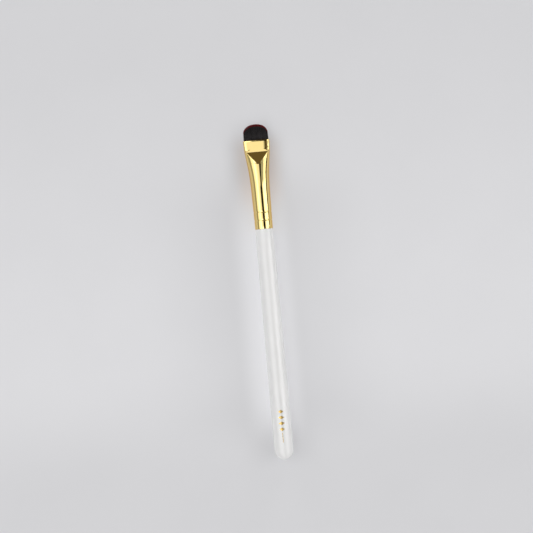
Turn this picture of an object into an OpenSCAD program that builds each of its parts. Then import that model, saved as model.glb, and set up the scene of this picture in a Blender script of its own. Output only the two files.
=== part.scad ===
// Flat eyeshadow brush with a domed tuft: lacquered wooden handle, crimped and flattened
// metal ferrule, short dense filaments. Millimetres.
// The brush lies front up: +X runs from the butt to the tips, +Z is its front, and it rests on z = 0.

/* [Handle] */
// Length of handle that shows below the ferrule
handle_len = 106.5; // [90:0.5:130]
// Radius of the thick round end
butt_r = 4.46; // [4.2:0.02:5.2]
// Length of the straight round stretch above the butt's dome
grip_len = 20; // [12:1:35]
// Radius where the handle starts to draw in below the ferrule
neck_r = 4.16; // [4:0.02:4.4]
// Length over which it draws in
neck_len = 7; // [4:0.5:14]
// How far the handle's top edge lies inside the ferrule's bottom edge
seam_step = 0.05; // [0:0.01:0.1]
// Thickness of the sealing primer on the wood
primer_t = 0.1; // [0.05:0.01:0.15]
// Thickness of the white lacquer on the primer
lacquer_t = 0.2; // [0.1:0.05:0.3]
// Length of the wooden tenon inside the ferrule
tenon_len = 15; // [12:0.5:15.5]
// Chamfer on the tenon's end
tenon_chamfer = 0.6; // [0.2:0.1:1]

/* [Ferrule] */
// Length of the ferrule
ferrule_len = 40.8; // [39:0.2:48]
// Outer radius at its bottom edge
ferrule_r = 4.03; // [3.8:0.01:4.1]
// Outer radius at the top of its round barrel
barrel_top_r = 4.28; // [4.16:0.01:4.36]
// Length of the round barrel
barrel_len = 16; // [15.9:0.1:17]
// Thickness of the metal
ferrule_wall = 0.35; // [0.25:0.01:0.4]
// Width of the flattened mouth
mouth_w = 12.2; // [11:0.1:13]
// Thickness of the flattened mouth
mouth_t = 4; // [3.6:0.1:4.6]
// Length of the flat mouth above the crease
mouth_len = 5.4; // [4.5:0.1:6.5]
// Height of the triangular facet below the crease
facet_len = 5.45; // [4.5:0.05:7]
// Height of the lower crimp above the bottom edge
crimp_z = 4.05; // [3:0.05:5]
// Distance between the two crimps
crimp_pitch = 3.75; // [3:0.05:5]
// Depth of each crimp
crimp_depth = 0.2; // [0.1:0.05:0.35]
// Radius of the roller that pressed them
crimp_r = 0.6; // [0.5:0.05:0.8]
// Thickness of the glue film round the tenon
glue_t = 0.1; // [0.05:0.01:0.15]
// Clearance of the glue film, the roots and the backing inside the ferrule
ferrule_gap = 0.03; // [0.02:0.01:0.05]

/* [Tuft] */
// Height of the tuft above the mouth
tuft_h = 7.55; // [6:0.05:9]
// Height of the tuft's sides, where the dome starts
tuft_side_h = 3.7; // [2.5:0.1:4.5]
// How much lower the front and back rows end than the middle one
tuft_edge_drop = 0.9; // [0.4:0.1:1.2]
// Distance between strands
strand_pitch = 0.3; // [0.3:0.01:0.32]
// Size of a strand at its root
strand_d = 0.24; // [0.18:0.01:0.25]
// Depth of the backing's face below the mouth
backing_sink = 0.9; // [0.6:0.1:1.5]
// Thickness of the backing that the strands stand in
backing_t = 1.1; // [0.8:0.1:1.4]

/* [Roots] */
// Length of the round, tied end of the root bundle
root_neck_len = 4; // [3.5:0.1:4.5]
// Radius of the tied end
root_neck_r = 2.5; // [2.2:0.1:2.6]
// Thickness of the binding thread
thread_d = 0.3; // [0.2:0.02:0.36]
// Turns of thread in the binding
thread_turns = 7; // [4:1:8]
// Depth of resin below the root bundle
resin_floor = 2.2; // [1:0.1:3]
// Clearance round the bundle in the resin
resin_gap = 0.04; // [0.02:0.01:0.06]

/* [Foil ornament] */
// Distance from the butt to the ornament's near end
foil_z = 8.4; // [8:0.2:10]
// Length of the thin line nearest the butt
foil_line_len = 4.4; // [3:0.2:6]
// Width of the thin line
foil_line_w = 0.28; // [0.2:0.02:0.4]
// Number of lozenges above the line
foil_count = 4; // [3:1:4]
// Width of a lozenge across the handle
foil_w = 3.2; // [2.4:0.1:3.6]
// Distance between lozenges along the handle
foil_pitch = 2.7; // [2.2:0.1:2.8]
// Thickness of the foil, pressed flush into the lacquer
foil_t = 0.03; // [0.02:0.01:0.05]

/* [Hidden] */

// Roundness of the turned pieces, and points on each quarter of a pressed section
$fn = 96;
quarter_steps = 10;

// Heights above the butt
seam_z = handle_len;
facet_z = seam_z + ferrule_len - mouth_len - facet_len;
crease_z = seam_z + ferrule_len - mouth_len;
mouth_z = seam_z + ferrule_len;
brush_len = mouth_z + tuft_h;
backing_top_z = mouth_z - backing_sink;
backing_z = backing_top_z - backing_t;

// Most of the tied end lies below the facet's tip, and the bundle fills the ferrule above it
root_below_share = 0.8;
root_z = facet_z - root_neck_len * root_below_share;
resin_z = root_z - resin_floor;
resin_top_z = root_z + root_neck_len;

// One overrun serves all cuts
over = 1;

// The flare follows a smooth curve whose rise comes late, and ends in the straight mouth
flare_late_share = 1.6;
flare_end_share = 0.7;
flare_end_z = crease_z + mouth_len * flare_end_share;

// Sizes along the ferrule
function ease(f) = let (g = pow(min(1, max(0, f)), flare_late_share)) g * g * (3 - 2 * g);
function tube_r(z) = ferrule_r + (barrel_top_r - ferrule_r) * (z - seam_z) / barrel_len;
function flare(z) = ease((z - seam_z - barrel_len) / (flare_end_z - seam_z - barrel_len));
function half_w(z) = tube_r(z) + (mouth_w / 2 - tube_r(mouth_z)) * flare(z);
function facet_part(z) = min(1, max(0, (z - facet_z) / facet_len));
function half_t(z) = let (f = facet_part(z), tip_t = 2 * tube_r(min(z, facet_z)) - half_w(min(z, facet_z)))
    tip_t * (1 - f) + mouth_t / 2 * f;
function flat_half(z) = (mouth_w - mouth_t) / 2 * facet_part(z);

// Each crimp is rolled round a circle, whose radius grows with the inset
crimp_heights = [seam_z + crimp_z, seam_z + crimp_z + crimp_pitch];
function crimp_centre(c) = tube_r(c) + crimp_r - crimp_depth;
function crimp_in(z, inset) = max([for (c = crimp_heights) let (r = crimp_r + inset, dz = abs(z - c))
    dz < r ? tube_r(z) - inset - crimp_centre(c) + sqrt(r * r - dz * dz) : 0]);

// One section: elliptical ends joined by the two flats, drawn in by inset and by the crimps
function section(z, inset) = let (f = flat_half(z), drawn = inset + max(0, crimp_in(z, inset)),
        a = half_w(z) - f - drawn, b = half_t(z) - drawn, n = quarter_steps)
    concat([for (i = [0:n]) let (t = 90 * i / n) [f + a * cos(t), b * sin(t), z]],
        [for (i = [0:2 * n]) let (t = 90 + 90 * i / n) [-f + a * cos(t), b * sin(t), z]],
        [for (i = [0:n - 1]) let (t = 270 + 90 * i / n) [f + a * cos(t), b * sin(t), z]]);
section_count = 4 * quarter_steps + 2;

// Where a section has no flats yet, their two ends are one point
function is_round(z) = facet_part(z) == 0;
function at(ring, j, round_ring) = ring * section_count + (!round_ring ? j
    : j == quarter_steps + 1 ? quarter_steps
    : j == 3 * quarter_steps + 2 ? 3 * quarter_steps + 1 : j);
function quad(a, b, c, d) = concat(a == b ? [] : [[a, b, c]], c == d ? [] : [[a, c, d]]);
function skin(zs, first, flip) = [for (k = [0:len(zs) - 2]) for (j = [0:section_count - 1])
    let (m = (j + 1) % section_count, low = is_round(zs[k]), high = is_round(zs[k + 1]),
        a = at(first + k, j, low), b = at(first + k, m, low),
        c = at(first + k + 1, m, high), d = at(first + k + 1, j, high))
    for (face = flip ? quad(d, c, b, a) : quad(a, b, c, d)) face];
function rim(z, outer, inner, flip) = [for (j = [0:section_count - 1])
    let (m = (j + 1) % section_count, r = is_round(z),
        a = at(outer, j, r), b = at(outer, m, r), c = at(inner, m, r), d = at(inner, j, r))
    for (face = a == b ? [] : flip ? [[d, c, b], [d, b, a]] : [[a, b, c], [a, c, d]]) face];
function lid(ring, round_ring, up) = let (js = [for (j = [0:section_count - 1])
        if (!round_ring || (j != quarter_steps + 1 && j != 3 * quarter_steps + 2)) at(ring, j, round_ring)])
    [for (i = [1:len(js) - 2]) up ? [js[0], js[i + 1], js[i]] : [js[0], js[i], js[i + 1]]];

// A solid that fills the pressed tube between two heights, and a wall of it
function heights(low, high, steps) = [for (i = [0:steps]) low + (high - low) * i / steps];
function join_heights(a, b) = concat(a, [for (i = [1:len(b) - 1]) b[i]]);

module pressed_solid(zs, low_inset, high_inset) {
    count = len(zs) - 1;
    polyhedron(points = [for (i = [0:count]) each section(zs[i], low_inset + (high_inset - low_inset) * i / count)],
        faces = concat(skin(zs, 0, true), lid(0, is_round(zs[0]), false),
            lid(len(zs) - 1, is_round(zs[len(zs) - 1]), true)));
}

module pressed_wall(zs, wall) {
    count = len(zs);
    polyhedron(points = concat([for (z = zs) each section(z, 0)], [for (z = zs) each section(z, wall)]),
        faces = concat(skin(zs, 0, true), skin(zs, count, false),
            rim(zs[0], 0, count, false), rim(zs[count - 1], count - 1, 2 * count - 1, true)));
}

// The pieces are drawn standing on the butt, and this lays them down, front up
module lay() {
    translate([-brush_len / 2, 0, butt_r]) rotate([-90, 0, 0]) rotate([0, 90, 0]) children();
}

module turn() {
    rotate_extrude() intersection() {
        square([butt_r + over, brush_len]);
        children();
    }
}

// Radius of the handle's outside
function neck_drop(f) = (neck_r - ferrule_r + seam_step) * (1 - cos(90 * f));
neck_steps = 8;

module handle_outline(inset) {
    translate([0, butt_r]) circle(butt_r - inset);
    polygon(concat([[0, butt_r], [butt_r - inset, butt_r], [butt_r - inset, butt_r + grip_len]],
        [for (i = [0:neck_steps]) [neck_r - neck_drop(i / neck_steps) - inset,
            seam_z - neck_len * (1 - i / neck_steps)]],
        [[0, seam_z]]));
}

module barrel_outline(inset, low_z, high_z) {
    difference() {
        polygon([[0, low_z], [tube_r(low_z) - inset, low_z], [tube_r(high_z) - inset, high_z], [0, high_z]]);
        for (c = crimp_heights)
            translate([crimp_centre(c), c]) circle(crimp_r + inset);
    }
}

// The tenon takes the inside of the crimped barrel, less the glue film
module tenon_outline() {
    inset = ferrule_wall + ferrule_gap + glue_t;
    top_z = seam_z + tenon_len;
    difference() {
        barrel_outline(inset, seam_z - over, top_z);
        polygon([[tube_r(top_z) - inset - tenon_chamfer, top_z], [tube_r(top_z) + over, top_z],
            [tube_r(top_z) + over, top_z - tenon_chamfer], [tube_r(top_z) - inset, top_z - tenon_chamfer]]);
    }
}

module handle_core() {
    color("burlywood") lay() turn() {
        handle_outline(primer_t + lacquer_t);
        tenon_outline();
    }
}

module primer_coat() {
    color("gainsboro") lay() turn() difference() {
        handle_outline(lacquer_t);
        handle_outline(primer_t + lacquer_t);
    }
}

// Lozenges and a thin line, as seen from the front
module foil_pattern() {
    line_end_z = foil_z + foil_line_len;
    translate([-foil_line_w / 2, foil_z]) square([foil_line_w, foil_line_len]);
    for (i = [0:foil_count - 1]) {
        size = foil_w * (1 - lozenge_fade_share * abs(2 * i - foil_count + 1) / foil_count);
        tall = foil_pitch * lozenge_tall_share / 2;
        translate([0, line_end_z + foil_pitch * (i + lozenge_first_share)])
            polygon([[-size / 2, 0], [0, -tall], [size / 2, 0], [0, tall]]);
    }
}
lozenge_fade_share = 0.3;
lozenge_tall_share = 0.62;
lozenge_first_share = 0.6;

module foil_prism() {
    rotate([90, 0, 0]) linear_extrude(butt_r + over) foil_pattern();
}

module lacquer_coat() {
    color("white") lay() difference() {
        turn() difference() {
            handle_outline(0);
            handle_outline(lacquer_t);
        }
        intersection() {
            foil_prism();
            turn() foil_ring();
        }
    }
}

// The band of the lacquer's surface that the foil is pressed into
module foil_ring() {
    translate([butt_r - foil_t, butt_r]) square([foil_t + over, grip_len]);
}

module foil_ornament() {
    color("gold") lay() intersection() {
        foil_prism();
        turn() translate([butt_r - foil_t, butt_r]) square([foil_t, grip_len]);
    }
}

module tenon_glue() {
    top_z = seam_z + tenon_len;
    color("khaki") lay() turn() difference() {
        barrel_outline(ferrule_wall + ferrule_gap, seam_z, top_z + glue_t);
        tenon_outline();
    }
}

// Crimped barrel, flare, triangular facets and flat mouth are one pressing
module ferrule() {
    barrel_top_z = seam_z + barrel_len;
    crimp_reach = sqrt(pow(crimp_r + ferrule_wall, 2) - pow(crimp_r + ferrule_wall - crimp_depth, 2));
    crimp_zs = [for (c = crimp_heights) each heights(c - crimp_reach, c + crimp_reach, 8)];
    zs = join_heights(join_heights(concat([seam_z], crimp_zs, heights(barrel_top_z, facet_z, 7)),
        heights(facet_z, crease_z, 4)), join_heights(heights(crease_z, flare_end_z, 3), [flare_end_z, mouth_z]));
    color("goldenrod") lay() pressed_wall(zs, ferrule_wall);
}

module root_neck(grow) {
    translate([0, 0, root_z]) cylinder(r = root_neck_r + grow, h = root_neck_len);
}

// The filaments' tied ends, spreading from the round neck to fill the flat mouth
module root_bundle() {
    seat = ferrule_wall + ferrule_gap;
    color("dimgray") lay() {
        root_neck(0);
        pressed_solid(join_heights(heights(resin_top_z, crease_z, 4), heights(crease_z, backing_z, 2)),
            half_t(resin_top_z) - root_neck_r - thread_d, seat);
    }
}

module root_binding() {
    color("ivory") lay() turn() for (i = [0:thread_turns - 1])
        translate([root_neck_r + thread_d / 2, root_z + thread_d * (i + 1)]) circle(thread_d / 2);
}

module root_resin() {
    seat = ferrule_wall + ferrule_gap;
    color("peru") lay() difference() {
        pressed_solid(join_heights(heights(resin_z, facet_z, 3), heights(facet_z, resin_top_z, 1)), seat, seat);
        root_neck(thread_d + resin_gap);
    }
}

// Strands stand in rows across the mouth, on a slice of backing
mouth_flat = (mouth_w - mouth_t) / 2;
backing_r = mouth_t / 2 - ferrule_wall - ferrule_gap;
strand_reach = backing_r - strand_d / 2;
strand_rows = floor(2 * strand_reach / strand_pitch);
strand_fan_share = 1.1;
shoulder_share = 0.8;
shoulder_d_share = 0.8;
tip_d_share = 0.3;

// The dome: round from the front, and a little lower at the front and back rows
function dome_z(u, v) = mouth_z + tuft_side_h + (tuft_h - tuft_side_h) * sqrt(max(0, 1 - u * u))
    - tuft_edge_drop * (1 - sqrt(max(0, 1 - v * v)));
function strand_ring(x, y, z, d, turned) = [for (i = [0:2]) let (t = 120 * i + (turned ? 180 : 0))
    [x + d / 2 * sin(t), y + d / 2 * cos(t), z]];

module strand(x, y, top_z, turned) {
    root_z = backing_top_z - backing_t / 2;
    shoulder_z = root_z + (top_z - root_z) * shoulder_share;
    lean = y * (strand_fan_share - 1);
    polyhedron(points = concat(strand_ring(x, y, root_z, strand_d, turned),
            strand_ring(x, y + lean * shoulder_share, shoulder_z, strand_d * shoulder_d_share, turned),
            strand_ring(x, y + lean, top_z, strand_d * tip_d_share, turned)),
        faces = concat([[0, 2, 1]], [for (k = [0, 3]) for (i = [0:2]) let (j = (i + 1) % 3)
            for (face = [[k + i, k + j, k + j + 3], [k + i, k + j + 3, k + i + 3]]) face], [[6, 7, 8]]));
}

module bristles() {
    color("black") lay() {
        translate([0, 0, backing_z]) linear_extrude(backing_t) {
            square([2 * mouth_flat, 2 * backing_r], center = true);
            for (side = [-1, 1]) translate([side * mouth_flat, 0]) circle(backing_r);
        }
        for (row = [0:strand_rows]) {
            y = (row - strand_rows / 2) * strand_pitch;
            reach = mouth_flat + sqrt(strand_reach * strand_reach - y * y);
            count = floor(2 * reach / strand_pitch);
            for (i = [0:count]) {
                x = (i - count / 2) * strand_pitch;
                strand(x, y, dome_z(x / (mouth_flat + strand_reach), y / strand_reach), (row + i) % 2 == 0);
            }
        }
    }
}

handle_core();
primer_coat();
lacquer_coat();
foil_ornament();
tenon_glue();
ferrule();
root_resin();
root_bundle();
root_binding();
bristles();
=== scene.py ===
import math

import bpy
import numpy as np
from mathutils import Matrix, Vector


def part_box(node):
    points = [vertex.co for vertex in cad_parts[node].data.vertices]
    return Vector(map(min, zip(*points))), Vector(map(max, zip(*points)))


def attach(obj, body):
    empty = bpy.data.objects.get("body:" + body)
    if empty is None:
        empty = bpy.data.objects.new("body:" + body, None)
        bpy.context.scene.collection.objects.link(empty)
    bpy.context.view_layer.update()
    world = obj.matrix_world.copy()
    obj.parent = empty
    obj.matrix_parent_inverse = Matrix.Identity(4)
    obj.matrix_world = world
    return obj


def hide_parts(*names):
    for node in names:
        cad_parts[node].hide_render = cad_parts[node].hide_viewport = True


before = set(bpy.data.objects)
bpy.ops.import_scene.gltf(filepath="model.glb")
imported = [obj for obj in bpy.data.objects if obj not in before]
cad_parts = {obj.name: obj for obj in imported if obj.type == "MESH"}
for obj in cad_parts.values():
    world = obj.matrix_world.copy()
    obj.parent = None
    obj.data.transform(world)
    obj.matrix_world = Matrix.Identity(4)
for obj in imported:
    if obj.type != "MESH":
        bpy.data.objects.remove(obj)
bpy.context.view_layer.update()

# Places along the brush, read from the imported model: the axis runs along X
mm = 0.001
ferruleLow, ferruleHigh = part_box("ferrule")
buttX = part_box("lacquer_coat")[0].x
seamX = ferruleLow.x
mouthX = ferruleHigh.x
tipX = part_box("bristles")[1].x
axisZ = (ferruleLow.z + ferruleHigh.z) / 2
mouthHalfWidth = (ferruleHigh.y - ferruleLow.y) / 2
print("frame: %d nodes, brush %.1f mm long" % (len(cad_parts), (tipX - buttX) / mm))


# Curves and small sums

def smooth(share):
    share = np.clip(share, 0, 1)
    return share * share * (3 - 2 * share)


def softMin(a, b, blend):
    near = np.maximum(blend - np.abs(a - b), 0) / blend
    return np.minimum(a, b) - near * near * blend / 4


def softMax(a, b, blend):
    return -softMin(-a, -b, blend)


def bump(distance, width):
    return np.exp(-(distance / width) ** 2)


# A cosine or sine pushed outwards, so that a circle drawn with it turns into a rounded rectangle
def squared(share, power):
    return np.sign(share) * np.abs(share) ** (2 / power)


def steps(low, high, count):
    return [low + (high - low) * i / count for i in range(count + 1)]


# Modelling by hand

rims = {
    "reach": 0.001 * mm,
    "segments": 3,
    "smoothAngle": 40,
}


def deselectAll():
    if bpy.context.object and bpy.context.object.mode != "OBJECT":
        bpy.ops.object.mode_set(mode="OBJECT")
    bpy.ops.object.select_all(action="DESELECT")


def pickVertices(piece, test):
    bpy.ops.object.mode_set(mode="EDIT")
    bpy.ops.mesh.select_all(action="DESELECT")
    bpy.ops.object.mode_set(mode="OBJECT")
    for vertex in piece.data.vertices:
        vertex.select = bool(test(vertex.co))
    bpy.ops.object.mode_set(mode="EDIT")


# A circle square to the axis, left in edit mode with all of it selected
def circleAcross(name, x, radius, segments, fill):
    deselectAll()
    bpy.ops.mesh.primitive_circle_add(vertices=segments, radius=radius, fill_type=fill,
                                      location=(x, 0, axisZ), rotation=(0, math.pi / 2, 0))
    piece = bpy.context.object
    piece.name = name
    bpy.ops.object.transform_apply(location=True, rotation=True, scale=True)
    bpy.ops.object.mode_set(mode="EDIT")
    bpy.ops.mesh.select_all(action="SELECT")
    return piece


def lathe(name, rings, segments):
    piece = circleAcross(name, *rings[0], segments, "NOTHING")
    for (oldX, oldRadius), (x, radius) in zip(rings, rings[1:]):
        grow = radius / oldRadius
        bpy.ops.mesh.extrude_region_move(TRANSFORM_OT_translate={"value": (x - oldX, 0, 0)})
        bpy.ops.transform.resize(value=(1, grow, grow), center_override=(x, 0, axisZ))
    bpy.ops.object.mode_set(mode="OBJECT")
    faceOutwards(piece)
    return piece


def faceOutwards(piece):
    lean = sum(p.normal.y * p.center.y + p.normal.z * (p.center.z - axisZ) for p in piece.data.polygons)
    bpy.ops.object.mode_set(mode="EDIT")
    bpy.ops.mesh.select_all(action="SELECT")
    if lean < 0:
        bpy.ops.mesh.flip_normals()
    bpy.ops.object.mode_set(mode="OBJECT")


def giveWall(piece, thickness):
    wall = piece.modifiers.new("wall", "SOLIDIFY")
    wall.thickness = thickness
    wall.offset = -1
    wall.use_even_offset = True
    bpy.ops.object.modifier_apply(modifier="wall")


def roundRim(piece, x, offset):
    pickVertices(piece, lambda co: abs(co.x - x) < rims["reach"])
    bpy.ops.mesh.select_mode(type="EDGE")
    bpy.ops.mesh.bevel(offset=offset, segments=rims["segments"], affect="EDGES")
    bpy.ops.mesh.select_mode(type="VERT")
    bpy.ops.object.mode_set(mode="OBJECT")


def readPoints(piece):
    points = np.empty(len(piece.data.vertices) * 3)
    piece.data.vertices.foreach_get("co", points)
    return points.reshape(-1, 3)


def writePoints(piece, points):
    piece.data.vertices.foreach_set("co", points.ravel())
    piece.data.update()


def finishPiece(piece, slotName, material, *nodes):
    bpy.ops.object.mode_set(mode="OBJECT")
    piece.data.materials.clear()
    piece.data.materials.append(material)
    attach(piece, "root")
    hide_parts(*nodes)
    print(piece.name, len(piece.data.polygons), "faces")


# Node helpers: a socket, or a plain number or colour, may be given for each input

def link(tree, value, socket):
    if isinstance(value, bpy.types.NodeSocket):
        tree.links.new(value, socket)
    else:
        socket.default_value = value


def node(tree, kind, settings=None, **inputs):
    made = tree.nodes.new(kind)
    for key, value in (settings or {}).items():
        setattr(made, key, value)
    for key, value in inputs.items():
        link(tree, value, made.inputs[key])
    return made


def calculate(tree, operation, a, b=0.0):
    made = node(tree, "ShaderNodeMath", {"operation": operation})
    link(tree, a, made.inputs[0])
    link(tree, b, made.inputs[1])
    return made.outputs[0]


def add(tree, a, b):
    return calculate(tree, "ADD", a, b)


def subtract(tree, a, b):
    return calculate(tree, "SUBTRACT", a, b)


def multiply(tree, a, b):
    return calculate(tree, "MULTIPLY", a, b)


def remap(tree, value, low, high, newLow=0.0, newHigh=1.0):
    made = node(tree, "ShaderNodeMapRange", {"interpolation_type": "SMOOTHSTEP"}, Value=value)
    for key, number in (("From Min", low), ("From Max", high), ("To Min", newLow), ("To Max", newHigh)):
        link(tree, number, made.inputs[key])
    return made.outputs["Result"]


def mixColor(tree, factor, a, b):
    made = node(tree, "ShaderNodeMix", {"data_type": "RGBA"})
    link(tree, factor, made.inputs["Factor"])
    link(tree, a, made.inputs["A"])
    link(tree, b, made.inputs["B"])
    return made.outputs["Result"]


def stretched(tree, vector, scale):
    made = node(tree, "ShaderNodeMapping", {"vector_type": "POINT"}, Vector=vector)
    made.inputs["Scale"].default_value = scale
    return made.outputs["Vector"]


def noise(tree, vector, scale, detail):
    return node(tree, "ShaderNodeTexNoise", Vector=vector, Scale=scale, Detail=detail).outputs["Fac"]


def bumpNormal(tree, height, strength, distance):
    made = node(tree, "ShaderNodeBump", Height=height, Strength=strength, Distance=distance)
    return made.outputs["Normal"]


def newGroup(name, inputs, outputs):
    tree = bpy.data.node_groups.new(name, "ShaderNodeTree")
    for socketName, kind in inputs:
        tree.interface.new_socket(socketName, in_out="INPUT", socket_type=kind)
    for socketName, kind in outputs:
        tree.interface.new_socket(socketName, in_out="OUTPUT", socket_type=kind)
    return tree, tree.nodes.new("NodeGroupInput").outputs, tree.nodes.new("NodeGroupOutput").inputs


def useGroup(tree, group, **inputs):
    return node(tree, "ShaderNodeGroup", {"node_tree": group}, **inputs).outputs


socketNames = {
    "roughness": "Roughness",
    "metallic": "Metallic",
    "specular": "Specular IOR Level",
    "edgeTint": "Specular Tint",
    "coatWeight": "Coat Weight",
    "coatRoughness": "Coat Roughness",
    "coatIor": "Coat IOR",
}


def newMaterial(name, constants):
    material = bpy.data.materials.new(name)
    material.use_nodes = True
    tree = material.node_tree
    shader = tree.nodes["Principled BSDF"]
    for key, value in constants.items():
        shader.inputs[socketNames[key]].default_value = value
    where = tree.nodes.new("ShaderNodeTexCoord").outputs["Object"]
    return material, tree, shader.inputs, where


# Effects that several materials share. Each noise is given by its scale and detail.

mottlingLook = {
    "detail": 4.0,
    "edges": (0.3, 0.7),
}
marksLook = {
    "smudgeDetail": 5.0,
    "smudgeEdges": (0.42, 0.68),
    "hairlineStretch": (0.02, 1.0, 1.0),
    "hairlineDetail": 2.0,
    "hairlineEdges": (0.35, 0.65),
}


# Soft mottling between two colours, as in paint, glue and wood
def mottlingGroup():
    group, given, out = newGroup(
        "mottling",
        [("Vector", "NodeSocketVector"), ("Scale", "NodeSocketFloat"), ("Light", "NodeSocketColor"),
         ("Dark", "NodeSocketColor")],
        [("Color", "NodeSocketColor"), ("Value", "NodeSocketFloat")])
    patch = noise(group, given["Vector"], given["Scale"], mottlingLook["detail"])
    patch = remap(group, patch, *mottlingLook["edges"])
    link(group, mixColor(group, patch, given["Dark"], given["Light"]), out["Color"])
    link(group, patch, out["Value"])
    return group


# Handling marks: broad smudges from fingers, and fine hairlines that run along the brush
def handlingGroup():
    group, given, out = newGroup(
        "handlingMarks",
        [("Vector", "NodeSocketVector"), ("SmudgeScale", "NodeSocketFloat"),
         ("HairlineScale", "NodeSocketFloat")],
        [("Smudge", "NodeSocketFloat"), ("Hairlines", "NodeSocketFloat")])
    smudge = noise(group, given["Vector"], given["SmudgeScale"], marksLook["smudgeDetail"])
    along = stretched(group, given["Vector"], marksLook["hairlineStretch"])
    hairline = noise(group, along, given["HairlineScale"], marksLook["hairlineDetail"])
    link(group, remap(group, smudge, *marksLook["smudgeEdges"]), out["Smudge"])
    link(group, remap(group, hairline, *marksLook["hairlineEdges"]), out["Hairlines"])
    return group


mottling = mottlingGroup()
handling = handlingGroup()


# Either effect placed in a material, with that material's own values
def mottled(tree, where, look):
    return useGroup(tree, mottling, Vector=where, Scale=look["scale"],
                    Light=look["light"], Dark=look["dark"])


def handled(tree, where, scales):
    smudgeScale, hairlineScale = scales
    return useGroup(tree, handling, Vector=where, SmudgeScale=smudgeScale, HairlineScale=hairlineScale)


# Handle: turned profile with a domed butt, straight grip, long taper and short drawn-in neck.
# Constants go straight into the shader, a noise is (scale, detail), and a bump (strength, depth).

handle = {
    "segments": 128,
    "radius": 4.46 * mm,
    "gripLength": 20 * mm,
    "neckRadius": 4.16 * mm,
    "neckLength": 7 * mm,
    "seamRadius": 3.98 * mm,
    "wall": 0.2 * mm,
    "belowFoil": 0.012 * mm,
    "domeAngles": (3, 90),
    "domeSteps": 16,
    "taperSteps": 20,
    "neckSteps": 8,
    "capShare": 0.01,
    "rimRound": 0.06 * mm,
    "constants": {"specular": 0.15, "coatWeight": 1.0, "coatRoughness": 0.05, "coatIor": 1.6},
    "paint": {"scale": 120.0, "light": (0.782, 0.782, 0.787, 1), "dark": (0.767, 0.767, 0.772, 1)},
    "marksScales": (220.0, 5200.0),
    "roughness": (0.33, 0.39),
    "peel": (1100.0, 1.5),
    "speckScale": 420.0,
    "speckSize": 0.05,
    "speckShare": 0.6,
    "peelBump": (0.03, 0.01 * mm),
}


def handleProfile():
    radius = handle["radius"] - handle["belowFoil"]
    neckRadius = handle["neckRadius"] - handle["belowFoil"]
    domeX = buttX + handle["radius"]
    gripEnd = domeX + handle["gripLength"]
    neckStart = seamX - handle["neckLength"]
    profile = []
    for degrees in steps(*handle["domeAngles"], handle["domeSteps"]):
        angle = math.radians(degrees)
        profile.append((domeX - radius * math.cos(angle), radius * math.sin(angle)))
    for share in steps(0, 1, handle["taperSteps"]):
        x = gripEnd + (neckStart - gripEnd) * share
        profile.append((x, radius + (neckRadius - radius) * share))
    drop = neckRadius - handle["seamRadius"]
    for share in steps(0, 1, handle["neckSteps"])[1:]:
        x = neckStart + handle["neckLength"] * share
        profile.append((x, neckRadius - drop * (1 - math.cos(math.pi / 2 * share))))
    return profile


def makeLacquer():
    profile = handleProfile()
    coat = lathe("handle_lacquer", profile, handle["segments"])
    firstX, firstRadius = profile[0]
    pickVertices(coat, lambda co: co.x < firstX + firstRadius * handle["capShare"])
    bpy.ops.mesh.edge_face_add()
    bpy.ops.mesh.poke()
    bpy.ops.object.mode_set(mode="OBJECT")
    giveWall(coat, handle["wall"])
    roundRim(coat, profile[-1][0], handle["rimRound"])
    bpy.ops.object.shade_smooth_by_angle(angle=math.radians(rims["smoothAngle"]))
    return coat


def lacquerMaterial():
    material, tree, shader, where = newMaterial("glossWhiteLacquer", handle["constants"])
    smudge = handled(tree, where, handle["marksScales"])["Smudge"]
    link(tree, mottled(tree, where, handle["paint"])["Color"], shader["Base Color"])
    link(tree, remap(tree, smudge, 0.0, 1.0, *handle["roughness"]), shader["Roughness"])
    cells = node(tree, "ShaderNodeTexVoronoi", Vector=where, Scale=handle["speckScale"])
    specks = remap(tree, cells.outputs["Distance"], handle["speckSize"], 0.0)
    peel = noise(tree, where, *handle["peel"])
    height = add(tree, peel, multiply(tree, specks, handle["speckShare"]))
    link(tree, bumpNormal(tree, height, *handle["peelBump"]), shader["Normal"])
    return material


finishPiece(makeLacquer(), "lacquer", lacquerMaterial(), "lacquer_coat")


# Ferrule: a tube lathed first, then pressed to its crimps, flare, V facets and flat mouth.
# Each stretch of rings runs from one mark and gap to another mark and gap, in so many steps.

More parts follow.
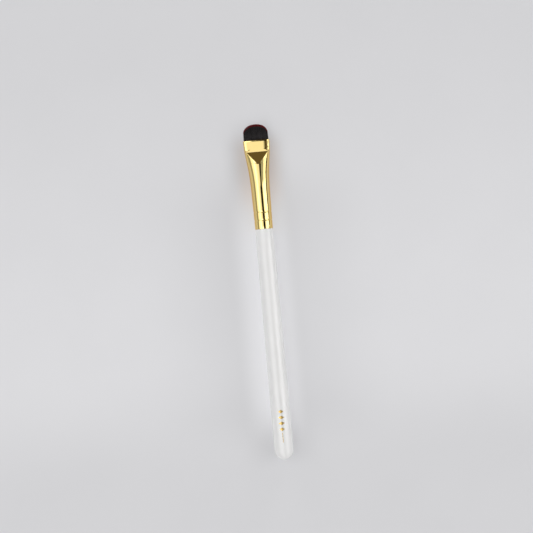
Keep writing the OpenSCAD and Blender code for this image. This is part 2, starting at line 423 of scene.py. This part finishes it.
ferrule = {
    "segments": 256,
    "wall": 0.35 * mm,
    "bottomRadius": 4.03 * mm,
    "barrelTopRadius": 4.28 * mm,
    "barrelLength": 16 * mm,
    "mouthLength": 5.4 * mm,
    "mouthHalfThickness": 2 * mm,
    "facetLength": 5.45 * mm,
    "facetHalfWidth": 4.95 * mm,
    "facetBulge": 0.85,
    "crimpHeights": (4.05 * mm, 7.8 * mm),
    "crimpDepth": 0.12 * mm,
    "crimpWidth": 0.28 * mm,
    "crimpReach": 2.6,
    "crimpSteps": 18,
    "bottomRings": (0, 1.5 * mm, 3 * mm),
    "rings": (
        ("bottom", 9.5 * mm, "barrelTop", 0, 5),
        ("barrelTop", 0.8 * mm, "facet", -1 * mm, 18),
        ("facet", -0.8 * mm, "crease", -0.3 * mm, 50),
        ("crease", -0.2 * mm, "crease", 0.4 * mm, 12),
        ("crease", 0.5 * mm, "crease", 1.7 * mm, 10),
        ("crease", 2.1 * mm, "mouth", -0.8 * mm, 6),
        ("mouth", -0.6 * mm, "mouth", 0, 8),
    ),
    "flareLate": 1.6,
    "flareEndShare": 0.7,
    "creaseDip": 0.012 * mm,
    "creaseDipRun": 0.42 * mm,
    "creaseRun": 1.5 * mm,
    "creaseBlend": 0.06 * mm,
    "lip": 0.07 * mm,
    "lipRun": 0.5 * mm,
    "lipBelow": 2.8 * mm,
    "edgeBlend": 0.03 * mm,
    "edgeLimit": 0.99,
    "barrelPower": 2,
    "pinchPower": 1.8,
    "pinchShare": 0.45,
    "creasePower": 2.4,
    "mouthPower": 4.8,
    "rimRound": 0.09 * mm,
    "constants": {"metallic": 1.0, "edgeTint": (0.9, 0.56, 0.2, 1), "coatWeight": 0.3,
                  "coatRoughness": 0.04},
    "gold": {"scale": 160.0, "light": (0.92, 0.71, 0.285, 1), "dark": (0.90, 0.685, 0.27, 1)},
    "marksScales": (220.0, 5200.0),
    "roughness": (0.04, 0.08),
    "hairlineBump": (0.18, 0.002 * mm),
}
ferruleLength = mouthX - seamX
creaseHeight = ferruleLength - ferrule["mouthLength"]
facetHeight = creaseHeight - ferrule["facetLength"]


def ferruleHeights():
    marks = {"bottom": 0, "barrelTop": ferrule["barrelLength"], "facet": facetHeight,
             "crease": creaseHeight, "mouth": ferruleLength}
    heights = list(ferrule["bottomRings"])
    span = ferrule["crimpReach"] * ferrule["crimpWidth"]
    for centre in ferrule["crimpHeights"]:
        heights += steps(centre - span, centre + span, ferrule["crimpSteps"])
    for low, lowGap, high, highGap, count in ferrule["rings"]:
        heights += steps(marks[low] + lowGap, marks[high] + highGap, count)
    return heights


def tubeRadius(height):
    rise = ferrule["barrelTopRadius"] - ferrule["bottomRadius"]
    return ferrule["bottomRadius"] + rise * height / ferrule["barrelLength"]


def halfWidth(height):
    flareEnd = creaseHeight + ferrule["mouthLength"] * ferrule["flareEndShare"]
    share = np.clip((height - ferrule["barrelLength"]) / (flareEnd - ferrule["barrelLength"]), 0, 1)
    wide = mouthHalfWidth - tubeRadius(ferruleLength)
    return tubeRadius(height) + wide * smooth(share ** ferrule["flareLate"])


# The section is an ellipse on the barrel, pinched beside the facets and square-ended at the mouth
def sectionPower(height):
    pinchHeight = facetHeight + ferrule["pinchShare"] * ferrule["facetLength"]
    heights = (facetHeight, pinchHeight, creaseHeight, creaseHeight + ferrule["creaseRun"])
    powers = (ferrule["barrelPower"], ferrule["pinchPower"],
              ferrule["creasePower"], ferrule["mouthPower"])
    return np.interp(height, heights, powers)


# How far the skin lies below its plain section, at the lip under the mouth and at the crimps
def skinInset(height):
    fromRim = ferruleLength - height
    inset = ferrule["lip"] * smooth(fromRim / ferrule["lipRun"])
    inset = inset * smooth(2 - fromRim / ferrule["lipBelow"])
    for centre in ferrule["crimpHeights"]:
        inset = inset + ferrule["crimpDepth"] * bump(height - centre, ferrule["crimpWidth"])
    return inset


def pressTube(points):
    height = points[:, 0] - seamX
    turn = np.arctan2(points[:, 2] - axisZ, points[:, 1])
    width = halfWidth(height)
    power = sectionPower(height)
    half = ferrule["mouthHalfThickness"]

    # The facet is a plane that falls from the barrel's top to the mouth, and the ridges rise beside it
    tipThickness = 2 * tubeRadius(facetHeight) - halfWidth(facetHeight)
    facetShare = np.clip((height - facetHeight) / ferrule["facetLength"], 0, 1)
    plane = tipThickness + (half - tipThickness) * (height - facetHeight) / ferrule["facetLength"]
    reach = ferrule["facetHalfWidth"] * facetShare ** ferrule["facetBulge"]
    edge = np.clip(reach / width, 0, ferrule["edgeLimit"]) ** power
    ridge = np.clip(plane, half, tipThickness) / (1 - edge) ** (1 / power)
    thick = np.where(height < facetHeight, 2 * tubeRadius(height) - width, ridge)
    above = np.clip((height - creaseHeight) / ferrule["creaseRun"], 0, 1)
    thick = np.where(above > 0, thick + (half - thick) * smooth(above), thick)
    crease = half - ferrule["creaseDip"] * bump(height - creaseHeight, ferrule["creaseDipRun"])
    slab = softMax(plane, crease, ferrule["creaseBlend"])

    across = np.sin(turn)
    inset = skinInset(height)
    y = width * squared(np.cos(turn), power) * (1 - inset / width)
    z = softMin(thick * np.abs(squared(across, power)), slab, ferrule["edgeBlend"])
    z = z * np.sign(across) * (1 - inset / np.maximum(thick, half))
    return np.column_stack([points[:, 0], y, axisZ + z])


def makeFerrule():
    rings = [(seamX + height, ferrule["bottomRadius"]) for height in ferruleHeights()]
    tube = lathe("ferrule_shell", rings, ferrule["segments"])
    writePoints(tube, pressTube(readPoints(tube)))
    giveWall(tube, ferrule["wall"])
    roundRim(tube, mouthX, ferrule["rimRound"])
    roundRim(tube, seamX, ferrule["rimRound"])
    bpy.ops.object.shade_smooth_by_angle(angle=math.radians(rims["smoothAngle"]))
    return tube


def goldMaterial():
    material, tree, shader, where = newMaterial("polishedGold", ferrule["constants"])
    marks = handled(tree, where, ferrule["marksScales"])
    link(tree, mottled(tree, where, ferrule["gold"])["Color"], shader["Base Color"])
    link(tree, remap(tree, marks["Smudge"], 0.0, 1.0, *ferrule["roughness"]), shader["Roughness"])
    link(tree, bumpNormal(tree, marks["Hairlines"], *ferrule["hairlineBump"]), shader["Normal"])
    return material


finishPiece(makeFerrule(), "ferrule_metal", goldMaterial(), "ferrule")


# Tuft: one tapered filament, copied into a dense bed that fills the mouth.
# Its rings give height and width as shares. The colours run from the dome's red down into the black.

tuft = {
    "seed": 11,
    "sides": 3,
    "rings": ((0.0, 1.0), (0.4, 1.0), (0.78, 0.88), (0.965, 0.6), (1.0, 0.16)),
    "filament": 0.092 * mm,
    "widths": (0.85, 1.1),
    "pitch": 0.094 * mm,
    "rowShare": 0.866,
    "wallShare": 0.6,
    "jitter": 0.018 * mm,
    "rootDepth": 1.0 * mm,
    "sideHeight": 3.7 * mm,
    "domePower": 2.2,
    "edgeDrop": 0.45 * mm,
    "tipDrop": 0.06 * mm,
    "tipClear": 0.03 * mm,
    "strayShare": 0.03,
    "strayDrop": (0.1 * mm, 0.7 * mm),
    "taper": 0.975,
    "fan": 0.09,
    "swell": 0.04,
    "sideClear": 0.25 * mm,
    "lean": 0.11 * mm,
    "leanSpread": 0.35,
    "lockWaves": ((2300, 900, 1.0), (1100, -2700, 2.1), (4100, 3500, 0.7)),
    "lockPhases": (0.4, 2.9),
    "dye": 1.2 * mm,
    "dyeFade": (0.35 * mm, -0.3 * mm),
    "dyeRagged": 0.25,
    "paleDepth": 6.5 * mm,
    "depthShare": 0.5,
    "toneShare": 0.5,
    "blackDeep": (0.009, 0.0072, 0.008, 1),
    "blackPale": (0.032, 0.0275, 0.029, 1),
    "redDeep": (0.12, 0.003, 0.007, 1),
    "redPale": (0.21, 0.008, 0.013, 1),
    "roughness": (0.36, 0.55),
    "constants": {"specular": 0.3},
}
backing = {
    "segments": 96,
    "wallGap": 0.05 * mm,
    "sink": 1.0 * mm,
    "thickness": 1.3 * mm,
    "inset": 0.2 * mm,
    "finish": "gluedRoots",
    "light": (0.016, 0.014, 0.015, 1),
    "dark": (0.005, 0.005, 0.005, 1),
    "scale": 4000.0,
    "gloss": 0.5,
}


def filamentMesh():
    deselectAll()
    bpy.ops.mesh.primitive_circle_add(vertices=tuft["sides"], radius=0.5, fill_type="NGON")
    piece = bpy.context.object
    bpy.ops.object.mode_set(mode="EDIT")
    bpy.ops.mesh.select_all(action="SELECT")
    for (oldUp, oldWide), (up, wide) in zip(tuft["rings"], tuft["rings"][1:]):
        grow = wide / oldWide
        bpy.ops.mesh.extrude_region_move(TRANSFORM_OT_translate={"value": (0, 0, up - oldUp)})
        bpy.ops.transform.resize(value=(grow, grow, 1), center_override=(0, 0, up))
    bpy.ops.mesh.select_all(action="SELECT")
    bpy.ops.mesh.normals_make_consistent(inside=False)
    bpy.ops.mesh.quads_convert_to_tris()
    bpy.ops.object.mode_set(mode="OBJECT")
    points = readPoints(piece)
    faces = np.array([list(p.vertices) for p in piece.data.polygons])
    bpy.data.objects.remove(piece)
    return points, faces


# Staggered rows of root places inside the mouth, each with its share of the mouth's width and depth
def rootPlaces(rng):
    clear = ferrule["wall"] + tuft["filament"] * tuft["wallShare"]
    wide = mouthHalfWidth - clear
    deep = ferrule["mouthHalfThickness"] - clear
    rowPitch = tuft["pitch"] * tuft["rowShare"]
    rows = int(deep / rowPitch)
    columns = int(wide / tuft["pitch"]) + 1
    power = ferrule["mouthPower"]
    places = []
    for row in range(-rows, rows + 1):
        for column in range(-columns, columns + 1):
            y = (column + 0.5 * (row % 2)) * tuft["pitch"] + rng.normal(0, tuft["jitter"])
            z = row * rowPitch + rng.normal(0, tuft["jitter"])
            if abs(y / wide) ** power + abs(z / deep) ** power < 1:
                places.append((y, z, y / wide, z / deep))
    return np.array(places)


# Neighbouring filaments lean together, in locks
def lockNoise(y, z, phase):
    waves = [np.sin(y * yWave + z * zWave + share * phase) for yWave, zWave, share in tuft["lockWaves"]]
    return sum(waves) / len(waves)


def growTuft():
    rng = np.random.default_rng(tuft["seed"])
    unit, unitFaces = filamentMesh()
    y, z, shareY, shareZ = rootPlaces(rng).T
    count = len(y)
    height = tipX - mouthX
    roundness = np.sqrt(np.clip(1 - np.abs(shareY) ** tuft["domePower"], 0, 1))
    dome = tuft["sideHeight"] + (height - tuft["sideHeight"]) * roundness
    top = dome - tuft["edgeDrop"] * (1 - np.sqrt(np.clip(1 - shareZ ** 2, 0, 1)))
    top = top - np.abs(rng.normal(0, tuft["tipDrop"], count)) - tuft["tipClear"]
    stray = rng.random(count) < tuft["strayShare"]
    top = np.where(stray, top - rng.uniform(*tuft["strayDrop"], count), top)
    yPhase, zPhase = tuft["lockPhases"]
    yLean = tuft["lean"] * (lockNoise(y, z, yPhase) + rng.normal(0, tuft["leanSpread"], count))
    zLean = tuft["lean"] * (lockNoise(y, z, zPhase) + rng.normal(0, tuft["leanSpread"], count))
    limit = mouthHalfWidth - tuft["sideClear"]
    tipY = np.clip(y * tuft["taper"] + yLean, -limit, limit)
    tipZ = z * (1 + tuft["fan"]) + zLean

    # Each filament is the unit one, turned at random, bent towards its tip and stretched to its length
    spin = rng.uniform(0, 2 * math.pi, count)
    up = unit[:, 2]
    length = top + tuft["rootDepth"]
    bend = np.sin(up * math.pi / 2) ** 2
    swell = tuft["swell"] * np.sin(up * math.pi)
    turnY = np.cos(spin)[:, None] * unit[:, 0] - np.sin(spin)[:, None] * unit[:, 1]
    turnZ = np.sin(spin)[:, None] * unit[:, 0] + np.cos(spin)[:, None] * unit[:, 1]
    x = mouthX - tuft["rootDepth"] + length[:, None] * up
    wide = tuft["filament"] * rng.uniform(*tuft["widths"], count)[:, None]
    pointY = y[:, None] + (tipY - y)[:, None] * bend + turnY * wide
    pointZ = z[:, None] + (tipZ - z)[:, None] * bend + swell * z[:, None] + turnZ * wide
    points = np.stack([x, pointY, axisZ + pointZ], axis=-1).reshape(-1, 3)
    faces = (unitFaces[None] + (np.arange(count) * len(unit))[:, None, None]).reshape(-1, 3)

    mesh = bpy.data.meshes.new("tuft_filaments")
    mesh.from_pydata(points.tolist(), [], faces.tolist())
    toDome = (mouthX + dome[:, None] - x).ravel()
    tone = np.repeat(rng.random(count), len(unit))
    for key, values in (("toDome", toDome / mm), ("tone", tone)):
        attribute = mesh.attributes.new(key, "FLOAT", "POINT")
        attribute.data.foreach_set("value", values.astype(np.float32))
    mesh.shade_smooth()
    piece = bpy.data.objects.new("tuft_filaments", mesh)
    bpy.context.scene.collection.objects.link(piece)
    bpy.context.view_layer.objects.active = piece
    print("filaments:", count)
    return piece


# The toDome attribute holds each point's depth below the dome in millimetres
def filamentMaterial():
    material, tree, shader, where = newMaterial("blackFilament", tuft["constants"])
    toDome = node(tree, "ShaderNodeAttribute", {"attribute_name": "toDome"}).outputs["Fac"]
    tone = node(tree, "ShaderNodeAttribute", {"attribute_name": "tone"}).outputs["Fac"]
    dye = tuft["dye"] / mm
    fadeLow, fadeHigh = tuft["dyeFade"]
    depth = remap(tree, toDome, dye, tuft["paleDepth"] / mm, 0.0, tuft["depthShare"])
    shade = add(tree, depth, multiply(tree, tone, tuft["toneShare"]))
    black = mixColor(tree, shade, tuft["blackDeep"], tuft["blackPale"])
    red = mixColor(tree, tone, tuft["redDeep"], tuft["redPale"])
    ragged = add(tree, toDome, multiply(tree, tone, tuft["dyeRagged"]))
    dyed = remap(tree, ragged, dye + fadeLow / mm, dye + fadeHigh / mm)
    link(tree, mixColor(tree, dyed, black, red), shader["Base Color"])
    link(tree, remap(tree, tone, 0.0, 1.0, *tuft["roughness"]), shader["Roughness"])
    return material


# The glued bed that the filaments stand in, pressed to the shape of the mouth
def makeBacking():
    clear = ferrule["wall"] + backing["wallGap"]
    wide = mouthHalfWidth - clear
    deep = ferrule["mouthHalfThickness"] - clear
    lowX = mouthX - tuft["rootDepth"] - backing["sink"]
    bed = circleAcross("tuft_backing", lowX, wide, backing["segments"], "NGON")
    bpy.ops.mesh.extrude_region_move(TRANSFORM_OT_translate={"value": (backing["thickness"], 0, 0)})
    bpy.ops.mesh.inset(thickness=backing["inset"])
    bpy.ops.mesh.select_all(action="SELECT")
    bpy.ops.mesh.normals_make_consistent(inside=False)
    bpy.ops.object.mode_set(mode="OBJECT")
    points = readPoints(bed)
    share = np.hypot(points[:, 1], points[:, 2] - axisZ) / wide
    turn = np.arctan2(points[:, 2] - axisZ, points[:, 1])
    points[:, 1] = wide * share * squared(np.cos(turn), ferrule["mouthPower"])
    points[:, 2] = axisZ + deep * share * squared(np.sin(turn), ferrule["mouthPower"])
    writePoints(bed, points)
    return bed


# Packed, moulded or painted stuff: mottled, with a fine grain and an uneven gloss
packed = {
    "grainShare": 6,
    "grainDetail": 3.0,
    "glossSpread": (0.85, 1.15),
    "grainBump": (0.3, 0.04 * mm),
}


def packedMaterial(look):
    material, tree, shader, where = newMaterial(look["finish"], {})
    lowGloss, highGloss = (look["gloss"] * spread for spread in packed["glossSpread"])
    tint = mottled(tree, where, look)
    grain = noise(tree, where, look["scale"] * packed["grainShare"], packed["grainDetail"])
    link(tree, tint["Color"], shader["Base Color"])
    link(tree, remap(tree, tint["Value"], 0.0, 1.0, lowGloss, highGloss), shader["Roughness"])
    link(tree, bumpNormal(tree, grain, *packed["grainBump"]), shader["Normal"])
    return material


finishPiece(growTuft(), "filament", filamentMaterial(), "bristles")
finishPiece(makeBacking(), "filament", packedMaterial(backing), "bristles")


# Pieces that keep their solids: the ones inside, and the foil

inner = {
    "handle_core": {
        "slot": "wood", "finish": "turnedBirch",
        "light": (0.78, 0.62, 0.42, 1), "dark": (0.58, 0.40, 0.22, 1),
        "grain": (1400.0, 5.0), "grainStretch": (0.06, 1.0, 1.0), "grainEdges": (0.35, 0.65),
        "fibre": (6000.0, 2.0), "fibreStretch": (0.02, 1.0, 1.0), "fibreEdges": (0.3, 0.7),
        "roughness": (0.45, 0.65), "bump": (0.3, 0.03 * mm)},
    "primer_coat": {
        "slot": "primer", "finish": "sealingPrimer",
        "light": (0.80, 0.79, 0.76, 1), "dark": (0.72, 0.70, 0.66, 1),
        "scale": 600.0, "gloss": 0.7},
    "foil_ornament": {
        "slot": "foil", "finish": "stampedFoil",
        "light": (0.80, 0.57, 0.21, 1), "dark": (0.60, 0.40, 0.13, 1),
        "scale": 900.0, "grain": (9000.0, 2.0), "roughness": (0.34, 0.2), "bump": (0.25, 0.01 * mm)},
    "tenon_glue": {
        "slot": "glue", "finish": "tenonGlue",
        "light": (0.75, 0.68, 0.45, 1), "dark": (0.6, 0.5, 0.28, 1),
        "scale": 500.0, "gloss": 0.25},
    "root_resin": {
        "slot": "resin", "finish": "setResin",
        "light": (0.6, 0.45, 0.22, 1), "dark": (0.4, 0.26, 0.1, 1),
        "scale": 350.0, "gloss": 0.2},
    "root_bundle": {
        "slot": "root_filament", "finish": "packedRoots",
        "light": (0.03, 0.026, 0.028, 1), "dark": (0.006, 0.006, 0.007, 1),
        "scale": 3000.0, "gloss": 0.55},
    "root_binding": {
        "slot": "thread", "finish": "boundThread",
        "light": (0.75, 0.73, 0.68, 1), "dark": (0.55, 0.52, 0.46, 1),
        "plyScale": 900.0, "plyTwist": 2.0, "roughness": 0.7, "bump": (0.5, 0.03 * mm)},
}


def woodMaterial(look):
    material, tree, shader, where = newMaterial(look["finish"], {})
    grain = noise(tree, stretched(tree, where, look["grainStretch"]), *look["grain"])
    fibre = noise(tree, stretched(tree, where, look["fibreStretch"]), *look["fibre"])
    tint = mixColor(tree, remap(tree, grain, *look["grainEdges"]), look["dark"], look["light"])
    link(tree, tint, shader["Base Color"])
    link(tree, remap(tree, fibre, *look["fibreEdges"], *look["roughness"]), shader["Roughness"])
    link(tree, bumpNormal(tree, fibre, *look["bump"]), shader["Normal"])
    return material


def threadMaterial(look):
    material, tree, shader, where = newMaterial(look["finish"], {"roughness": look["roughness"]})
    wave = node(tree, "ShaderNodeTexWave", Vector=where, Scale=look["plyScale"],
                Distortion=look["plyTwist"])
    ply = wave.outputs["Fac"]
    link(tree, mixColor(tree, ply, look["dark"], look["light"]), shader["Base Color"])
    link(tree, bumpNormal(tree, ply, *look["bump"]), shader["Normal"])
    return material


def foilMaterial(look):
    material, tree, shader, where = newMaterial(look["finish"], {"metallic": 1.0})
    tint = mottled(tree, where, look)
    grain = noise(tree, where, *look["grain"])
    link(tree, tint["Color"], shader["Base Color"])
    link(tree, remap(tree, tint["Value"], 0.0, 1.0, *look["roughness"]), shader["Roughness"])
    link(tree, bumpNormal(tree, grain, *look["bump"]), shader["Normal"])
    return material


ownMaterial = {
    "handle_core": woodMaterial,
    "foil_ornament": foilMaterial,
    "root_binding": threadMaterial,
}
for name, look in inner.items():
    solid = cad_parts[name]
    solid.data.materials.clear()
    solid.data.materials.append(ownMaterial.get(name, packedMaterial)(look))
print("pieces that keep their solids:", len(inner))


# Floor: a pale board whose light and shade are painted into its colour: a broad band of painted light
# across the board, brightest level with the handle, painted shadows beside the head, handle and butt, a
# painted glow thrown by the lacquer and a warm painted glow thrown by the gold.
# Each change fades out aside of the brush over its reach, and along it over its butt and tip spans.

floor = {
    "size": 6.0,
    "plainLight": 1.0,
    "farLevel": 0.66,
    "nearLevel": 0.723,
    "butt": (-85 * mm, -30 * mm),
    "tip": (-30 * mm, 140 * mm),
    "shadowShare": 0.4,
    "shades": {
        "lacquerGlow": {"change": 0.165, "aside": 2 * mm, "reach": (16 * mm, 3 * mm),
                        "butt": (-74 * mm, -50 * mm), "tip": (20 * mm, 62 * mm)},
        "handleShade": {"change": -0.055, "aside": 3 * mm, "reach": (60 * mm, 12 * mm),
                        "butt": (-76 * mm, -52 * mm), "tip": (36 * mm, 66 * mm)},
        "headShade": {"change": -0.12, "aside": 1 * mm, "reach": (17 * mm, 5 * mm),
                      "butt": (36 * mm, 60 * mm), "tip": (66 * mm, 76 * mm)},
        "buttShade": {"change": -0.025, "aside": 0, "reach": (20 * mm, 8 * mm),
                      "butt": (-82 * mm, -74 * mm), "tip": (-70 * mm, -60 * mm)},
    },
    "goldGlow": {"color": (1.045, 0.975, 0.955, 1), "reach": (13 * mm, 5 * mm),
                 "butt": (34 * mm, 50 * mm), "tip": (62 * mm, 76 * mm)},
    "board": {"scale": 25.0, "light": (1.0, 1.0, 1.03, 1), "dark": (0.986, 0.986, 1.016, 1)},
    "constants": {"roughness": 0.85, "specular": 0.2},
}


def alongBrush(tree, x, span, value):
    rise = remap(tree, x, *span["butt"])
    fall = remap(tree, x, *span["tip"], 1.0, 0.0)
    return multiply(tree, multiply(tree, rise, fall), value)


def boardLevel(tree, x, y):
    gain = alongBrush(tree, x, floor, floor["nearLevel"] - floor["farLevel"])
    level = add(tree, gain, floor["farLevel"])
    for shade in floor["shades"].values():
        aside = calculate(tree, "ABSOLUTE", subtract(tree, y, shade["aside"]))
        change = remap(tree, aside, *shade["reach"], 0.0, shade["change"])
        level = add(tree, level, alongBrush(tree, x, shade, change))
    return level


# The warm tint beside the ferrule is painted light: the glow that the gold throws on the board
def boardColor(tree, x, y, where):
    glow = floor["goldGlow"]
    warm = alongBrush(tree, x, glow, remap(tree, calculate(tree, "ABSOLUTE", y), *glow["reach"]))
    return mixColor(tree, warm, mottled(tree, where, floor["board"])["Color"], glow["color"])


# Part of the board's light is its own, seen by the camera and in reflections, which softens the shadow
def floorMaterial():
    material, tree, shader, where = newMaterial("paleBoard", floor["constants"])
    x, y = node(tree, "ShaderNodeSeparateXYZ", Vector=where).outputs[:2]
    level = boardLevel(tree, x, y)
    color = boardColor(tree, x, y, where)
    plain = calculate(tree, "DIVIDE", level, floor["plainLight"])
    albedo = node(tree, "ShaderNodeVectorMath", {"operation": "SCALE"}, Vector=color, Scale=plain)
    link(tree, albedo.outputs["Vector"], shader["Base Color"])
    ownLight = node(tree, "ShaderNodeEmission", Color=color, Strength=level)
    path = tree.nodes.new("ShaderNodeLightPath").outputs
    mirrored = calculate(tree, "MAXIMUM", path["Is Glossy Ray"], path["Is Transmission Ray"])
    seen = calculate(tree, "MAXIMUM", path["Is Camera Ray"], mirrored)
    both = node(tree, "ShaderNodeMixShader", Fac=multiply(tree, seen, 1 - floor["shadowShare"]))
    tree.links.new(tree.nodes["Principled BSDF"].outputs[0], both.inputs[1])
    tree.links.new(ownLight.outputs[0], both.inputs[2])
    tree.links.new(both.outputs[0], tree.nodes["Material Output"].inputs["Surface"])
    return material


deselectAll()
bpy.ops.mesh.primitive_plane_add(size=floor["size"])
board = bpy.context.object
board.name = "floor_board"
board.data.materials.append(floorMaterial())
print("floor: board with", len(floor["shades"]), "shades")


# Studio: the light comes from broad panels round the brush's axis, with dark gaps between and beside
# them, and low down a pale skirt is the backdrop. A row gives a panel's or gap's turn from straight up
# towards the picture's right, the soft edges of that turn, its tilt towards the tuft and the soft edges
# of that tilt, all in degrees, and then its level.

studio = {
    "room": 0.138,
    "horizon": 0.47,
    "horizonTop": (5, 9),
    "skirt": 0.655,
    "skirtTop": (6.0, 8.0),
    "skirtColor": (1.0, 1.0, 1.015, 1),
    "dim": (1.0, 0.82, 0.45, 1),
    "half": (0.92, 1.0, 1.05, 1),
    "full": (1.0, 1.0, 1.0, 1),
    "dimToHalf": (0.15, 0.45),
    "halfToFull": (0.6, 1.0),
    "gaps": {
        "lowGap": ((-4, 26), (2, 2), (-45, 4), (6, 2), 0.01),
        "highGap": ((-4, 26), (2, 2), (5, 18), (2, 6), 0.01),
    },
    "panels": {
        "left": ((-68, -9), (12, 6), (-38, 38), (10, 10), 1.4),
        "leftCore": ((-54, -15), (20, 14), (-38, 38), (10, 10), 2.3),
        "leftLow": ((-95, -46), (2, 8), (-38, 38), (10, 10), 0.37),
        "overhead": ((-34, 0), (5, 2.5), (-50, 20), (10, 8), 1.13),
        "mouthFill": ((-10, 10), (3, 9), (1.2, 17), (1, 3), 1.13),
        "lowOverhead": ((-34, 0.5), (5, 2.5), (-60, -3), (10, 4), 2.1),
        "innerRight": ((20, 50), (3, 4), (-2, 38), (4, 10), 0.48),
        "right": ((24.5, 80), (2, 2), (-38, 4.4), (10, 3), 1.4),
        "rightCore": ((26, 74), (12, 18), (-38, 4.4), (10, 3), 2.3),
        "rightEdge": ((48, 80), (8, 2), (-3.5, 3.6), (3, 1.4), 2.3),
        "upperRight": ((42, 80), (6, 2), (-4, 38), (4, 10), 1.6),
        "leftHeel": ((-96, -50), (6, 10), (-82, -46), (6, 6), 2.2),
        "leftToe": ((-96, -50), (6, 10), (52, 82), (6, 6), 10.0),
        "rightHeel": ((62, 96), (10, 6), (-82, -46), (6, 6), 9.0),
        "rightToe": ((50, 96), (10, 6), (52, 82), (6, 6), 18.0),
    },
    "sideGaps": {
        "barrelSide": ((72.5, 88.6), (2, 1), (-0.8, 42), (0.8, 6), 0.03),
        "flareSide": ((76.5, 88.6), (2, 1), (-42, -5), (6, 2), 0.04),
    },
}


def panelMask(tree, *sides):
    mask = 1.0
    for value, (low, high), (lowEdge, highEdge) in sides:
        mask = multiply(tree, mask, remap(tree, value, low, low + lowEdge))
        mask = multiply(tree, mask, remap(tree, value, high, high - highEdge))
    return mask


def towards(tree, mask, light, level):
    return add(tree, light, multiply(tree, mask, subtract(tree, level, light)))


def masksAndLevels(tree, turn, tilt, panels):
    return [(panelMask(tree, (turn, turnSpan, turnEdge), (tilt, tiltSpan, tiltEdge)), level)
            for turnSpan, turnEdge, tiltSpan, tiltEdge, level in panels.values()]


def below(tree, rise, span):
    low, high = span
    return remap(tree, rise, high, low)


def makeWorld():
    world = bpy.data.worlds.new("softStudio")
    bpy.context.scene.world = world
    world.use_nodes = True
    tree = world.node_tree
    sky = tree.nodes["Background"]
    way = tree.nodes.new("ShaderNodeTexCoord").outputs["Generated"]
    x, y, z = node(tree, "ShaderNodeSeparateXYZ", Vector=way).outputs
    degrees = math.degrees(1)
    turn = multiply(tree, calculate(tree, "ARCTAN2", multiply(tree, y, -1.0), z), degrees)
    tilt = multiply(tree, calculate(tree, "ARCSINE", x), degrees)
    rise = multiply(tree, calculate(tree, "ARCSINE", z), degrees)

    light = studio["room"]
    for mask, level in masksAndLevels(tree, turn, tilt, studio["gaps"]):
        light = towards(tree, mask, light, level)
    light = towards(tree, below(tree, rise, studio["horizonTop"]), light, studio["horizon"])
    for mask, level in masksAndLevels(tree, turn, tilt, studio["panels"]):
        light = calculate(tree, "MAXIMUM", light, multiply(tree, mask, level))
    skirt = below(tree, rise, studio["skirtTop"])
    light = towards(tree, skirt, light, studio["skirt"])
    for mask, level in masksAndLevels(tree, turn, tilt, studio["sideGaps"]):
        light = towards(tree, mask, light, level)
        skirt = multiply(tree, skirt, subtract(tree, 1.0, mask))

    tint = mixColor(tree, remap(tree, light, *studio["dimToHalf"]), studio["dim"], studio["half"])
    tint = mixColor(tree, remap(tree, light, *studio["halfToFull"]), tint, studio["full"])
    tint = mixColor(tree, skirt, tint, studio["skirtColor"])
    link(tree, light, sky.inputs["Strength"])
    link(tree, tint, sky.inputs["Color"])
    print("studio:", len(studio["panels"]), "panels")


makeWorld()


# Camera: straight above, turned and placed so that the brush lies as it does in the photograph, whose
# width and the ends of the brush in it are given in pixels

photo = {
    "width": 533,
    "buttPixel": (285.0, 459.7),
    "tipPixel": (254.6, 124.2),
    "sensor": 36.0,
    "distance": 0.9,
    "clip": (0.01, 20),
}


def placeCamera():
    butt = Vector(photo["buttPixel"])
    run = Vector(photo["tipPixel"]) - butt
    pixels = run.length / (tipX - buttX)
    lean = math.atan2(-run.x, -run.y)
    upWay = Vector((math.cos(lean), -math.sin(lean), 0))
    rightWay = Vector((-math.sin(lean), -math.cos(lean), 0))
    centre = photo["width"] / 2
    place = Vector((buttX, 0, axisZ + photo["distance"]))
    place += upWay * (butt.y - centre) / pixels - rightWay * (butt.x - centre) / pixels
    data = bpy.data.cameras.new("camera")
    data.sensor_width = photo["sensor"]
    data.lens = photo["sensor"] * photo["distance"] * pixels / photo["width"]
    data.clip_start, data.clip_end = photo["clip"]
    camera = bpy.data.objects.new("camera", data)
    bpy.context.scene.collection.objects.link(camera)
    turn = Matrix((rightWay, upWay, Vector((0, 0, 1)))).transposed()
    camera.matrix_world = Matrix.Translation(place) @ turn.to_4x4()
    bpy.context.scene.camera = camera
    print("camera: lens %.1f mm" % data.lens)


placeCamera()
bpy.context.scene.view_settings.view_transform = "Standard"
